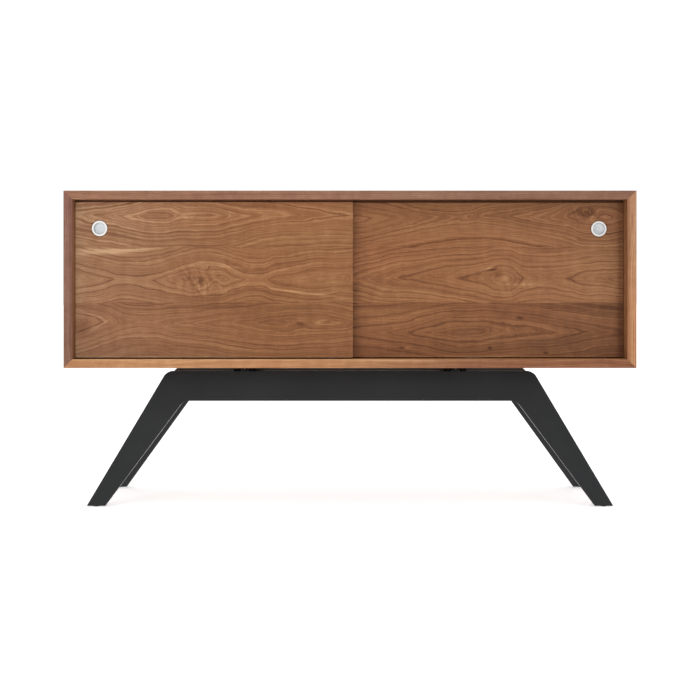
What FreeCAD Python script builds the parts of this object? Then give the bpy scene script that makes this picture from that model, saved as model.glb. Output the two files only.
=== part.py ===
"""Media cabinet: a mitred, veneered case with two bypass sliding doors on a black trestle stand.

Millimetres. +X is right, -Y is the front, +Z is up. The origin is on the floor under the
middle of the cabinet. Every size that drives the model is a cell of the sheet "dims".
"""
import FreeCAD, Part
import math
import os
import re
import Sketcher

# name, value, meaning
DRIVING_DIMENSIONS = (
    ("case_width", 1524, "overall width of the case"),
    ("case_depth", 470, "overall depth of the case"),
    ("case_height", 472, "height of the case alone"),
    ("case_base", 378, "height of the case's underside above the floor"),
    ("panel_thick", 23, "thickness of the four case boards"),
    ("lipping_depth", 12, "solid front strips, front to back"),
    ("bevel_depth", 6, "how far the strips' front falls back towards the opening"),
    ("arris_radius", 1, "easing of visible wooden edges"),
    ("spline_thick", 4, "loose splines in the mitred corners"),
    ("spline_width", 16, "loose splines, across the mitre"),
    ("spline_offset", 12, "spline's distance from the inner corner, along the mitre"),
    ("spline_setback", 20, "splines stop this far behind the boards' front edge"),
    ("back_thick", 9, "back panel"),
    ("back_rebate", 12, "how far the back panel laps onto each board"),
    ("back_inset", 3, "back panel behind the boards' rear edges"),
    ("cable_hole_radius", 28, "clear radius of the cable holes"),
    ("cable_hole_x", 370, "cable holes from the middle"),
    ("cable_hole_z", 70, "cable holes above the inside floor"),
    ("grommet_wall", 2, "cable grommet's tube wall and flange thickness"),
    ("grommet_lip", 5, "cable grommet's flange beyond its tube"),
    ("grommet_ease", 1, "cable grommet's eased rim"),
    ("divider_thick", 19, "centre divider"),
    ("divider_front", 150, "divider's front edge in front of the middle of the depth"),
    ("shelf_thick", 19, "adjustable shelves"),
    ("shelf_gap", 1, "play at each end of a shelf"),
    ("shelf_front", 140, "shelf's front edge in front of the middle of the depth"),
    ("shelf_back_gap", 10, "shelf's rear edge from the back panel"),
    ("shelf_lift", 203, "underside of the shelves above the inside floor"),
    ("pin_radius", 2.5, "shelf pin shank"),
    ("pin_shank", 8, "shelf pin shank length"),
    ("pin_head_radius", 3.5, "shelf pin's supporting stub"),
    ("pin_head", 9, "shelf pin stub length"),
    ("pin_pitch", 32, "distance between shelf positions"),
    ("pin_front", 105, "front row of pin holes in front of the middle"),
    ("pin_back", 180, "rear row of pin holes behind the middle"),
    ("dowel_radius", 4, "divider dowels"),
    ("dowel_length", 30, "divider dowels"),
    ("dowel_front", 110, "divider's first dowel in front of the middle of the depth"),
    ("dowel_pitch", 140, "divider dowels, one to the next"),
    ("door_thick", 19, "sliding doors"),
    ("door_recess", 35, "front door's face behind the case's front"),
    ("door_gap", 2, "gap between the two doors, front to back"),
    ("door_overlap", 16, "how far the closed doors overlap in the middle"),
    ("door_side_gap", 1, "closed door to the side board"),
    ("door_foot_gap", 3, "door's lower edge above the inside floor"),
    ("door_head_gap", 5, "door's shoulder below the inside ceiling"),
    ("tongue_thick", 10, "tongue along the door's upper edge"),
    ("tongue_rise", 7, "tongue above the inside ceiling"),
    ("groove_play", 0.8, "play each side of the tongue"),
    ("upper_groove_depth", 13, "upper track grooves, deep enough to lift a door out"),
    ("lower_groove_depth", 5.5, "lower track grooves"),
    ("track_wall", 2, "outer walls of both tracks"),
    ("track_web", 1.5, "floor of both tracks"),
    ("fin_thick", 4, "glide fin in the lower track"),
    ("fin_play", 0.3, "play each side of the fin"),
    ("fin_foot_gap", 0.2, "fin above the bottom of its groove"),
    ("glide_length", 36, "glide block under a door"),
    ("glide_thick", 9, "glide block, front to back"),
    ("glide_height", 12, "glide block let into the door"),
    ("glide_inset", 60, "glide's centre from the door's end"),
    ("pull_radius", 21, "flush pull's rim"),
    ("pull_bore", 17.5, "flush pull's cup, outside radius"),
    ("pull_depth", 11, "flush pull's cup, outside depth"),
    ("pull_wall", 2, "flush pull's cup wall"),
    ("pull_floor", 1.4, "flush pull's cup floor"),
    ("pull_cove", 1.2, "sloping corner between the cup's wall and floor"),
    ("pull_rim_rise", 1.2, "flush pull's rim above the door's face"),
    ("pull_rim_ease", 0.7, "slope on both edges of the rim"),
    ("pull_inset", 66.5, "pull's centre from the side board"),
    ("pull_drop", 76, "pull's centre below the inside ceiling"),
    ("stand_top", 362, "height of the stand's beams"),
    ("beam_height", 81, "beams"),
    ("frame_thick", 22, "beams and legs, front to back"),
    ("frame_top_front", 111, "beam's outer face from the middle of the depth, at its top"),
    ("lean_angle", 10.5, "lean of both leg frames, feet outwards"),
    ("beam_top_half", 505, "half length of the beam's upper edge, corner to corner"),
    ("beam_low_half", 457, "half length of the beam's lower edge, corner to corner"),
    ("foot_outer_half", 712, "outer corner of a foot from the middle"),
    ("foot_inner_half", 662, "inner corner of a foot from the middle"),
    ("outer_corner_radius", 29, "rounding above the legs"),
    ("inner_corner_radius", 31, "rounding inside the legs"),
    ("frame_arris", 1.5, "easing of the stand's edges"),
    ("tenon_thick", 8, "loose tenon between beam and leg"),
    ("tenon_width", 40, "loose tenon along the joint"),
    ("tenon_length", 50, "loose tenon across the joint"),
    ("stretcher_width", 60, "stretchers, left to right"),
    ("stretcher_height", 40, "stretchers"),
    ("stretcher_drop", 24, "stretcher's top below the beam's top"),
    ("tie_dowel_radius", 5, "stretcher dowels"),
    ("tie_dowel_spread", 15, "stretcher dowels each side of the stretcher's middle"),
    ("tie_dowel_beam", 14, "stretcher dowel's length in the beam"),
    ("tie_dowel_rail", 30, "stretcher dowel's length in the stretcher"),
    ("mount_x", 291, "mounting points from the middle"),
    ("spacer_radius", 9.5, "spacers between stand and case"),
    ("spacer_spread", 21, "spacers each side of a mount bolt"),
    ("spigot_radius", 4, "spacer's spigot in the beam"),
    ("spigot_length", 9, "spacer's spigot in the beam"),
    ("bolt_radius", 3, "mount bolt"),
    ("bolt_hole_play", 0.5, "play round the mount bolt in the bottom board"),
    ("bolt_head_radius", 6.5, "mount bolt's head"),
    ("bolt_head_height", 3.4, "mount bolt's head"),
    ("bolt_head_ease", 1, "slope round the bolt's head"),
    ("bolt_socket", 2, "radius and depth of the drive socket"),
    ("bolt_point", 1, "slope at the bolt's tip"),
    ("bolt_stop", 2, "bolt's tip above the bottom of its insert"),
    ("bolt_recess_radius", 8, "recess for the head in the bottom board"),
    ("bolt_recess_depth", 5, "recess for the head in the bottom board"),
    ("washer_thick", 1.2, "washer under the bolt's head"),
    ("insert_radius", 4.75, "threaded insert in the beam"),
    ("insert_length", 16, "threaded insert in the beam"),
    ("insert_ease", 0.8, "slope at the insert's lower end"),
    ("screw_radius", 2, "back panel screws"),
    ("screw_length", 28, "back panel screws"),
    ("screw_head_radius", 4, "back panel screws, countersunk head"),
    ("screw_head_depth", 2.5, "back panel screws, countersunk head"),
    ("screw_point", 4, "back panel screws, length of the point"),
    ("screw_pitch", 460, "back panel screws along its long edges"),
    ("screw_rise", 120, "back panel screws in its upright rows, from its middle"),
    ("foot_pad_height", 2, "glides under the feet"),
    ("foot_pad_radius", 9, "glides under the feet"),
    ("foot_pad_ease", 0.8, "slope round the glide's lower edge"),
    ("nail_radius", 1.5, "glide's nail"),
    ("nail_length", 14, "glide's nail"),
)

# Heights and depths that many pieces share, as formulas of the sheet's cells.
HALF_WIDTH = "(case_width / 2)"
HALF_CLEAR = "(case_width / 2 - panel_thick)"
CASE_TOP = "(case_base + case_height)"
INSIDE_FLOOR = "(case_base + panel_thick)"
INSIDE_CEILING = "(case_base + case_height - panel_thick)"
CASE_FRONT = "(-case_depth / 2)"
BOARD_FRONT = "(lipping_depth - case_depth / 2)"
CASE_BACK = "(case_depth / 2)"
BACK_FACE = "(case_depth / 2 - back_inset - back_thick)"
DOOR_WIDTH = f"({HALF_CLEAR} + door_overlap / 2 - door_side_gap)"
FRONT_DOOR_FACE = "(door_recess - case_depth / 2)"
REAR_DOOR_FACE = f"({FRONT_DOOR_FACE} + door_thick + door_gap)"
BEAM_LOW = "(stand_top - beam_height)"
JOINT_SLOPE = "((beam_top_half - beam_low_half) / beam_height)"
SHELF_UNDERSIDE = f"({INSIDE_FLOOR} + shelf_lift)"
PIN_HEIGHT = f"({SHELF_UNDERSIDE} - pin_head_radius)"

# A cutting outline runs this far past what it cuts, and points this near are the same.
OVERRUN = "10"
NEAR = 0.01
LONG_EDGE = 50

doc = FreeCAD.newDocument("media_cabinet")
dims = doc.addObject("Spreadsheet::Sheet", "dims")
for row, (name, number, meaning) in enumerate(DRIVING_DIMENSIONS, start=1):
    dims.set(f"A{row}", name)
    dims.set(f"B{row}", str(number))
    dims.set(f"C{row}", meaning)
    dims.setAlias(f"B{row}", name)
doc.recompute()


# ---------------------------------------------------------------- formulas and sketches

def bound(formula):
    """The formula with each dimension's name made a reference to the sheet."""
    return re.sub(r"\b([a-z]+(?:_[a-z]+)+)\b", r"dims.\1", formula)


def value(formula):
    """The formula's present value."""
    result = dims.evalExpression(bound(formula))
    return float(getattr(result, "Value", result))


def place(item, **position):
    """Bind an object's place: x, y and z are formulas."""
    for axis, formula in position.items():
        item.setExpression(f"Placement.Base.{axis}", bound(formula))


# For each sketch plane: the axis across it, and whether the plane's normal points along it.
PLANES = {"XY": ("z", True), "XZ": ("y", False), "YZ": ("x", True)}


def sketch_on(body, plane, start="0"):
    """A sketch on one of the body's origin planes, moved to start along the axis across it."""
    support = next(item for item in body.Origin.OriginFeatures if item.Role == f"{plane}_Plane")
    sketch = body.newObject("Sketcher::SketchObject", f"{body.Name}_sketch")
    sketch.AttachmentSupport = (support, "")
    sketch.MapMode = "FlatFace"
    sign = "" if PLANES[plane][1] else "-"
    sketch.setExpression("AttachmentOffset.Base.z", bound(f"{sign}({start})"))
    return sketch


def draw_outline(sketch, corners):
    """A closed outline of straight lines, each corner held by two formulas."""
    first = sketch.GeometryCount
    points = [FreeCAD.Vector(value(u), value(v), 0) for u, v in corners]
    count = len(points)
    for i in range(count):
        sketch.addGeometry(Part.LineSegment(points[i], points[(i + 1) % count]), False)
    for i, formulas in enumerate(corners):
        sketch.addConstraint(
            Sketcher.Constraint("Coincident", first + i, 2, first + (i + 1) % count, 1))
        for kind, formula in zip(("DistanceX", "DistanceY"), formulas):
            constraint = Sketcher.Constraint(kind, -1, 1, first + i, 1, value(formula))
            index = sketch.addConstraint(constraint)
            sketch.setExpression(f"Constraints[{index}]", bound(formula))


def rectangle(low_u, high_u, low_v, high_v):
    return [(low_u, low_v), (high_u, low_v), (high_u, high_v), (low_u, high_v)]


def mirrored(corners):
    """The outline turned over left to right."""
    return [(f"-({u})", v) for u, v in corners]


def add_pad(body, plane, length):
    """Pad the body's last sketch towards the positive axis."""
    pad = body.newObject("PartDesign::Pad", f"{body.Name}_pad")
    pad.Profile = body.Group[-2]
    pad.Reversed = not PLANES[plane][1]
    pad.setExpression("Length", bound(length))
    doc.recompute()
    return pad


def prism(label, plane, corners, start, length):
    """A body padded from an outline; its Placement puts it at start along the axis across."""
    body = doc.addObject("PartDesign::Body", label)
    body.Label = label
    draw_outline(sketch_on(body, plane), corners)
    add_pad(body, plane, length)
    place(body, **{PLANES[plane][0]: start})
    return body


def add_pocket(body, plane, outlines, start, length):
    """Cut outlines out of the body, from start for a length towards the positive axis."""
    before = body.Shape.Volume
    sketch = sketch_on(body, plane, start)
    for corners in outlines:
        draw_outline(sketch, corners)
    pocket = body.newObject("PartDesign::Pocket", f"{body.Name}_pocket")
    pocket.Profile = sketch
    pocket.Reversed = PLANES[plane][1]
    pocket.setExpression("Length", bound(length))
    doc.recompute()
    if not body.Shape.Volume < before:
        raise RuntimeError(f"{body.Label}: a pocket removed nothing")


def round_edges(body, radius, wanted):
    """Fillet the edges of the body for which wanted(edge) is true."""
    base = body.Tip
    names = [f"Edge{i}" for i, edge in enumerate(base.Shape.Edges, start=1) if wanted(edge)]
    if not names:
        raise RuntimeError(f"{body.Label}: no edge to round")
    fillet = body.newObject("PartDesign::Fillet", f"{body.Name}_fillet")
    fillet.Base = (base, names)
    fillet.setExpression("Radius", bound(radius))
    doc.recompute()


def turned(label, profile):
    """A body turned about its own Z axis from an outline of (radius, height) corners."""
    body = doc.addObject("PartDesign::Body", label)
    body.Label = label
    sketch = sketch_on(body, "XZ")
    draw_outline(sketch, profile)
    turn = body.newObject("PartDesign::Revolution", f"{body.Name}_turn")
    turn.Profile = sketch
    turn.ReferenceAxis = (sketch, ["V_Axis"])
    turn.Angle = 360
    doc.recompute()
    return body


# ---------------------------------------------------------------- solids, cuts and groups

def box(label, low, size):
    """A Part box from its low corner and its size, all formulas."""
    item = doc.addObject("Part::Box", label)
    item.Label = label
    for side, formula in zip(("Length", "Width", "Height"), size):
        item.setExpression(side, bound(formula))
    place(item, x=low[0], y=low[1], z=low[2])
    return item


TURNS = {
    "+X": FreeCAD.Rotation(FreeCAD.Vector(0, 1, 0), 90),
    "-X": FreeCAD.Rotation(FreeCAD.Vector(0, 1, 0), -90),
    "+Y": FreeCAD.Rotation(FreeCAD.Vector(1, 0, 0), -90),
    "-Y": FreeCAD.Rotation(FreeCAD.Vector(1, 0, 0), 90),
    "+Z": FreeCAD.Rotation(),
}


def rod(label, start, direction, radius, length):
    """A Part cylinder from the middle of its end face, along a signed axis."""
    item = doc.addObject("Part::Cylinder", label)
    item.Label = label
    item.setExpression("Radius", bound(radius))
    item.setExpression("Height", bound(length))
    item.Placement = FreeCAD.Placement(FreeCAD.Vector(), TURNS[direction])
    place(item, x=start[0], y=start[1], z=start[2])
    return item


def copies(pattern, spots, direction="+Z"):
    """Links to one pattern, each at a spot and with its own Z axis along a direction."""
    links = []
    for x, y, z in spots:
        link = doc.addObject("App::Link", f"{pattern.Name}_copy")
        link.LinkedObject = pattern
        link.Placement = FreeCAD.Placement(FreeCAD.Vector(), TURNS[direction])
        place(link, x=x, y=y, z=z)
        links.append(link)
    return links


def group(label, members):
    """Separate solids that are one named node."""
    item = doc.addObject("Part::Compound", label)
    item.Label = label
    item.Links = members
    doc.recompute()
    return item


def cut(label, base, tools):
    """The base with each tool's space taken out of it in turn."""
    for i, tool in enumerate(tools, start=1):
        item = doc.addObject("Part::Cut", f"{label}_cut")
        item.Base = base
        item.Tool = tool
        item.Label = label if i == len(tools) else f"{label} stage {i}"
        doc.recompute()
        if not item.Shape.Volume < base.Shape.Volume:
            raise RuntimeError(f"{label}: {tool.Label} removed nothing")
        base = item
    return base


SIDES = (("left", "-1"), ("right", "1"))
ENDS = (("front", "-1"), ("rear", "1"))


# ---------------------------------------------------------------- joinery used by both neighbours

def mitre_spline(label, side, level):
    """A spline across one corner's mitre, from front to back."""
    inner_z = INSIDE_CEILING if level == "1" else INSIDE_FLOOR
    along, across = "(spline_offset / sqrt(2))", "(spline_width / 2 / sqrt(2))"
    half = "(spline_thick / 2 / sqrt(2))"
    corners = []
    for a, b in (("-1", "-1"), ("1", "-1"), ("1", "1"), ("-1", "1")):
        x = f"{side} * ({HALF_CLEAR} + {along} + {a} * {across} + {b} * {half})"
        z = f"{inner_z} + {level} * ({along} - {a} * {across} + {b} * {half})"
        corners.append((x, z))
    length = f"{BACK_FACE} - {BOARD_FRONT} - 2 * spline_setback"
    return prism(label, "XZ", corners, f"{BOARD_FRONT} + spline_setback", length)


def make_splines():
    members = [mitre_spline(f"spline_{side}_{level}", sign, height)
               for side, sign in SIDES for level, height in (("low", "-1"), ("high", "1"))]
    return group("mitre_splines", members)


def make_divider_dowels():
    members = []
    for level, z in (("low", INSIDE_FLOOR), ("high", INSIDE_CEILING)):
        for i in range(3):
            start = ("0", f"{i} * dowel_pitch - dowel_front", f"{z} - dowel_length / 2")
            members.append(rod(f"dowel_{level}_{i}", start, "+Z", "dowel_radius", "dowel_length"))
    return group("divider_dowels", members)


def make_back_screws():
    """Countersunk screws round the back panel and up the divider, seen from behind."""
    profile = [("0", "0"), ("screw_head_radius", "0"), ("screw_radius", "screw_head_depth"),
               ("screw_radius", "screw_length - screw_point"), ("0", "screw_length")]
    screw = turned("back_screw_pattern", profile)
    y = f"{BACK_FACE} + back_thick"
    low = f"{INSIDE_FLOOR} - back_rebate / 2"
    high = f"{INSIDE_CEILING} + back_rebate / 2"
    middle = "(case_base + case_height / 2)"
    spots = [(f"{k} * screw_pitch", y, z) for k in (-1.5, -0.5, 0.5, 1.5) for z in (low, high)]
    spots += [(f"{k} * ({HALF_CLEAR} + back_rebate / 2)", y, f"{middle} + {s} * screw_rise")
              for k in (-1, 0, 1) for s in (-1, 1)]
    return group("back_panel_screws", copies(screw, spots, "-Y"))


def pin_spots(rows):
    """Where shelf pins or their holes start: (x, y, z, direction into the wood, wall)."""
    spots = []
    for x, direction in ((f"-{HALF_CLEAR}", "-X"), ("-divider_thick / 2", "+X"),
                         ("divider_thick / 2", "-X"), (HALF_CLEAR, "+X")):
        for y in ("-pin_front", "pin_back"):
            for k in rows:
                spots.append((x, y, f"{PIN_HEIGHT} + {k} * pin_pitch", direction))
    return spots


def make_shelf_pins():
    """A stub carries the shelf and a thinner shank sits in the wall."""
    profile = [("0", "-pin_head"), ("pin_head_radius", "-pin_head"), ("pin_head_radius", "0"),
               ("pin_radius", "0"), ("pin_radius", "pin_shank"), ("0", "pin_shank")]
    pin = turned("shelf_pin_pattern", profile)
    members = []
    for x, y, z, direction in pin_spots((0,)):
        members += copies(pin, [(x, y, z)], direction)
    return group("shelf_pins", members)


def pin_holes(label, walls):
    """The holes of all shelf positions in the given walls."""
    holes = [rod(f"{label}_hole", (x, y, z), direction, "pin_radius", "pin_shank")
             for x, y, z, direction in pin_spots((-2, -1, 0, 1, 2)) if x in walls]
    return group(label, holes)


# ---------------------------------------------------------------- case

def mitred_outline(side):
    """Front view of one side of the case, mitred into its neighbours at both ends."""
    if side in ("top", "bottom"):
        outer, inner = (CASE_TOP, INSIDE_CEILING) if side == "top" else ("case_base", INSIDE_FLOOR)
        return [(f"-{HALF_WIDTH}", outer), (HALF_WIDTH, outer),
                (HALF_CLEAR, inner), (f"-{HALF_CLEAR}", inner)]
    sign = dict(SIDES)[side]
    return [(f"{sign} * {HALF_WIDTH}", "case_base"), (f"{sign} * {HALF_WIDTH}", CASE_TOP),
            (f"{sign} * {HALF_CLEAR}", INSIDE_CEILING), (f"{sign} * {HALF_CLEAR}", INSIDE_FLOOR)]


def board(label, side):
    return prism(label, "XZ", mitred_outline(side), BOARD_FRONT, "case_depth - lipping_depth")


def make_lipping(side):
    """A solid strip on a board's front edge. Its face falls back towards the opening."""
    strip = prism(f"front_lipping_{side}", "XZ", mitred_outline(side), CASE_FRONT, "lipping_depth")
    outer, inner, clear = mitred_outline(side)[0], mitred_outline(side)[2], f"-{OVERRUN}"
    if side in ("top", "bottom"):
        wedge = [("0", outer[1]), ("bevel_depth", inner[1]), (clear, inner[1]), (clear, outer[1])]
        add_pocket(strip, "YZ", [wedge], f"-{HALF_WIDTH}", "case_width")
        fixed, outer_at, inner_at = "z", value(outer[1]), value(inner[1])
    else:
        wedge = [(outer[0], "0"), (inner[0], "bevel_depth"), (inner[0], clear), (outer[0], clear)]
        add_pocket(strip, "XY", [wedge], "case_base", "case_height")
        fixed, outer_at, inner_at = "x", value(outer[0]), value(inner[0])

    def front_arris(edge):
        ends = [vertex.Point for vertex in edge.Vertexes]
        along_outer = all(abs(getattr(p, fixed) - outer_at) < NEAR and p.y < NEAR for p in ends)
        along_inner = all(abs(getattr(p, fixed) - inner_at) < NEAR
                          and p.y < value("bevel_depth") + NEAR for p in ends)
        return along_outer or along_inner

    round_edges(strip, "arris_radius", front_arris)
    return strip


def track_section(groove, wall_top, base, sign):
    """Front-to-back section of a double track. The grooves open towards -sign * Z."""
    centres = (f"({FRONT_DOOR_FACE} + door_thick / 2)", f"({REAR_DOOR_FACE} + door_thick / 2)")
    front = f"{centres[0]} - {groove} / 2 - track_wall"
    back = f"{centres[1]} + {groove} / 2 + track_wall"
    depth = f"({sign} * ({base} - track_web))"
    root = f"{wall_top} + {depth}"
    section = [(front, f"{wall_top} + {sign} * {base}"), (front, wall_top)]
    for centre in centres:
        low, high = f"{centre} - {groove} / 2", f"{centre} + {groove} / 2"
        section += [(low, wall_top), (low, root), (high, root), (high, wall_top)]
    section += [(back, wall_top), (back, f"{wall_top} + {sign} * {base}")]
    return section, front, back


def make_track(label, groove, wall_top, base, sign):
    """A double track and the recess that it is let into, flush with the board."""
    section, front, back = track_section(groove, wall_top, base, sign)
    length = f"2 * {HALF_CLEAR}"
    track = prism(label, "YZ", section, f"-{HALF_CLEAR}", length)
    low = wall_top if sign == "1" else f"{wall_top} - {base}"
    recess = box(f"{label}_recess", (f"-{HALF_CLEAR}", front, low),
                 (length, f"{back} - ({front})", base))
    return track, recess


def make_back_panel(screws):
    half = f"({HALF_CLEAR} + back_rebate)"
    low = f"({INSIDE_FLOOR} - back_rebate)"
    height = f"({INSIDE_CEILING} + back_rebate - {low})"
    blank = box("back_panel_blank", (f"-{half}", BACK_FACE, low), (f"2 * {half}", "back_thick", height))
    holes = [rod(f"cable_hole_{side}", (f"{sign} * cable_hole_x", BACK_FACE,
                                        f"{INSIDE_FLOOR} + cable_hole_z"),
                 "+Y", "cable_hole_radius + grommet_wall", "back_thick") for side, sign in SIDES]
    return cut("back_panel", blank, holes + [screws])


def make_grommets():
    """Tube through the back panel with a rounded flange on its rear face."""
    tube = "(cable_hole_radius + grommet_wall)"
    flange = f"({tube} + grommet_lip)"
    low, high = "back_thick + grommet_wall - grommet_ease", "back_thick + grommet_wall"
    profile = [("cable_hole_radius", "0"), (tube, "0"), (tube, "back_thick"), (flange, "back_thick"),
               (flange, low), (f"{flange} - grommet_ease", high),
               ("cable_hole_radius + grommet_ease", high), ("cable_hole_radius", low)]
    ring = turned("grommet_pattern", profile)
    spots = [(f"{sign} * cable_hole_x", BACK_FACE, f"{INSIDE_FLOOR} + cable_hole_z")
             for _side, sign in SIDES]
    return group("cable_grommets", copies(ring, spots, "+Y"))


def make_divider(dowels, screws):
    blank = box("divider_blank", ("-divider_thick / 2", "-divider_front", INSIDE_FLOOR),
                ("divider_thick", f"divider_front + {BACK_FACE}", f"{INSIDE_CEILING} - {INSIDE_FLOOR}"))
    holes = pin_holes("divider_pin_holes", ("-divider_thick / 2", "divider_thick / 2"))
    return cut("center_divider", blank, [dowels, screws, holes])


def make_shelf(side, sign):
    """A loose shelf with an eased front edge."""
    inner, outer = "divider_thick / 2 + shelf_gap", f"{HALF_CLEAR} - shelf_gap"
    low = inner if sign == "1" else f"-({outer})"
    length = f"{outer} - ({inner})"
    back = f"{BACK_FACE} - shelf_back_gap"
    section = rectangle("-shelf_front", back, SHELF_UNDERSIDE, f"{SHELF_UNDERSIDE} + shelf_thick")
    shelf = prism(f"shelf_{side}", "YZ", section, low, length)
    front = value("-shelf_front")
    round_edges(shelf, "arris_radius", lambda edge: edge.BoundBox.XLength > LONG_EDGE
                and abs(edge.BoundBox.Center.y - front) < NEAR)
    return shelf


# ---------------------------------------------------------------- doors

def make_pull(side, sign, face):
    """A turned flush cup; the rim stands on the door's face. Its axis points into the door."""
    cup, floor = "(pull_bore - pull_wall)", "(pull_depth - pull_floor)"
    edge = "(pull_rim_ease - pull_rim_rise)"
    profile = [("0", "pull_depth"), ("pull_bore", "pull_depth"), ("pull_bore", "0"),
               ("pull_radius", "0"), ("pull_radius", edge),
               ("pull_radius - pull_rim_ease", "-pull_rim_rise"),
               (f"{cup} + pull_rim_ease", "-pull_rim_rise"), (cup, edge),
               (cup, f"{floor} - pull_cove"), (f"{cup} - pull_cove", floor), ("0", floor)]
    pull = turned(f"door_pull_{side}", profile)
    pull.Placement = FreeCAD.Placement(FreeCAD.Vector(), TURNS["+Y"])
    place(pull, x=f"{sign} * ({HALF_CLEAR} - pull_inset)", y=face,
          z=f"{INSIDE_CEILING} - pull_drop")
    return pull


def make_glides(side, sign, face):
    """Two glides in the door's lower edge. Each has a fin that runs in the lower track."""
    centre = f"({face} + door_thick / 2)"
    foot = f"({INSIDE_FLOOR} + door_foot_gap)"
    fin_low = f"({INSIDE_FLOOR} - lower_groove_depth + fin_foot_gap)"
    section = [(f"{centre} - fin_thick / 2", fin_low), (f"{centre} + fin_thick / 2", fin_low),
               (f"{centre} + fin_thick / 2", foot), (f"{centre} + glide_thick / 2", foot),
               (f"{centre} + glide_thick / 2", f"{foot} + glide_height"),
               (f"{centre} - glide_thick / 2", f"{foot} + glide_height"),
               (f"{centre} - glide_thick / 2", foot), (f"{centre} - fin_thick / 2", foot)]
    outer_end = f"({sign} * ({HALF_CLEAR} - door_side_gap - glide_inset))"
    inner_end = f"({sign} * (glide_inset - door_overlap / 2))"
    members = [prism(f"glide_{side}_{end}", "YZ", section, f"{x} - glide_length / 2", "glide_length")
               for end, x in (("outer", outer_end), ("inner", inner_end))]
    return group(f"door_glides_{side}", members)


def make_door(side, sign, face, pull_bore, glides):
    """A panel with a tongue along its top. Its visible edges are eased."""
    foot, shoulder = f"({INSIDE_FLOOR} + door_foot_gap)", f"({INSIDE_CEILING} - door_head_gap)"
    rear, tongue_top = f"({face} + door_thick)", f"({INSIDE_CEILING} + tongue_rise)"
    tongue_front = f"({face} + (door_thick - tongue_thick) / 2)"
    tongue_rear = f"({face} + (door_thick + tongue_thick) / 2)"
    section = [(face, foot), (rear, foot), (rear, shoulder), (tongue_rear, shoulder),
               (tongue_rear, tongue_top), (tongue_front, tongue_top), (tongue_front, shoulder),
               (face, shoulder)]
    start = f"-({HALF_CLEAR} - door_side_gap)" if sign == "-1" else "-door_overlap / 2"
    door = prism(f"door_panel_{side}_blank", "YZ", section, start, DOOR_WIDTH)
    front_at, rear_at = value(face), value(rear)

    def face_edge(edge):
        at = edge.BoundBox
        nearest = min(abs(at.Center.y - front_at), abs(at.Center.y - rear_at))
        return at.YLength < NEAR and nearest < NEAR

    round_edges(door, "arris_radius", face_edge)
    return cut(f"door_panel_{side}", door, [pull_bore, glides])


def make_doors():
    pieces = []
    for (side, sign), face in zip(SIDES, (FRONT_DOOR_FACE, REAR_DOOR_FACE)):
        start = (f"{sign} * ({HALF_CLEAR} - pull_inset)", face, f"{INSIDE_CEILING} - pull_drop")
        pull_bore = rod(f"pull_bore_{side}", start, "+Y", "pull_bore", "pull_depth")
        glides = make_glides(side, sign, face)
        pieces += [make_door(side, sign, face, pull_bore, glides), make_pull(side, sign, face), glides]
    return pieces


# ---------------------------------------------------------------- stand

def leaning(sign, inset, height):
    """A frame face's distance from the middle of the depth at a height."""
    return f"{sign} * (frame_top_front - {inset} + (stand_top - ({height})) * tan(lean_angle))"


def trestle_blank(label, sign):
    """A whole leaning frame: beam and two legs, rounded where they meet."""
    foot = "foot_pad_height"
    half = [("foot_outer_half", foot), ("foot_inner_half", foot),
            ("beam_low_half", BEAM_LOW), ("beam_top_half", "stand_top")]
    outline = half[:3] + mirrored(half[:3])[::-1] + mirrored(half[3:]) + half[3:]
    reach = "(frame_top_front + stand_top * tan(lean_angle))"
    start = f"-{reach}" if sign == "-1" else "frame_top_front - frame_thick"
    depth = f"{reach} - frame_top_front + frame_thick"
    blank = prism(label, "XZ", outline, start, depth)
    for corner, radius in ((half[3], "outer_corner_radius"), (half[2], "inner_corner_radius")):
        at_x, at_z = value(corner[0]), value(corner[1])
        round_edges(blank, radius, lambda edge: edge.BoundBox.YLength > LONG_EDGE
                    and abs(abs(edge.BoundBox.Center.x) - at_x) < NEAR
                    and abs(edge.BoundBox.Center.z - at_z) < NEAR)
    return blank, start, depth


def joint_line(sign, height):
    """Where the slanting joint between beam and leg is at a height, as (x, z)."""
    return f"{sign} * (beam_top_half - (stand_top - ({height})) * {JOINT_SLOPE})", height


def make_frame_piece(label, sign, keep):
    """One piece sawn from a trestle: keep is "beam", "left" or "right"."""
    blank, start, depth = trestle_blank(label, sign)
    above, below = f"(stand_top + {OVERRUN})", f"-{OVERRUN}"
    waste = []
    for side, side_sign in SIDES:
        far = f"{side_sign} * 2 * foot_outer_half"
        near_leg = [joint_line(side_sign, above), joint_line(side_sign, below),
                    (far, below), (far, above)]
        opposite = f"{side_sign} * -2 * foot_outer_half"
        rest = [joint_line(side_sign, above), joint_line(side_sign, below),
                (opposite, below), (opposite, above)]
        if keep == "beam":
            waste.append(near_leg)
        elif keep == side:
            waste.append(rest)
    add_pocket(blank, "XZ", waste, f"-{OVERRUN}", f"{depth} + 2 * {OVERRUN}")
    base = f"({start})"
    outer = [(f"{leaning(sign, '0', z)} - {base}", z) for z in (below, above)]
    inner = [(f"{leaning(sign, 'frame_thick', z)} - {base}", z) for z in (below, above)]
    outside = f"{sign} * 2 * frame_top_front - {base}"
    wedges = [outer + [(outside, above), (outside, below)],
              inner + [(f"-{base}", above), (f"-{base}", below)]]
    add_pocket(blank, "YZ", wedges, f"-foot_outer_half - {OVERRUN}",
               f"2 * (foot_outer_half + {OVERRUN})")
    ease_frame(blank, sign, value(start))
    return blank


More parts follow.
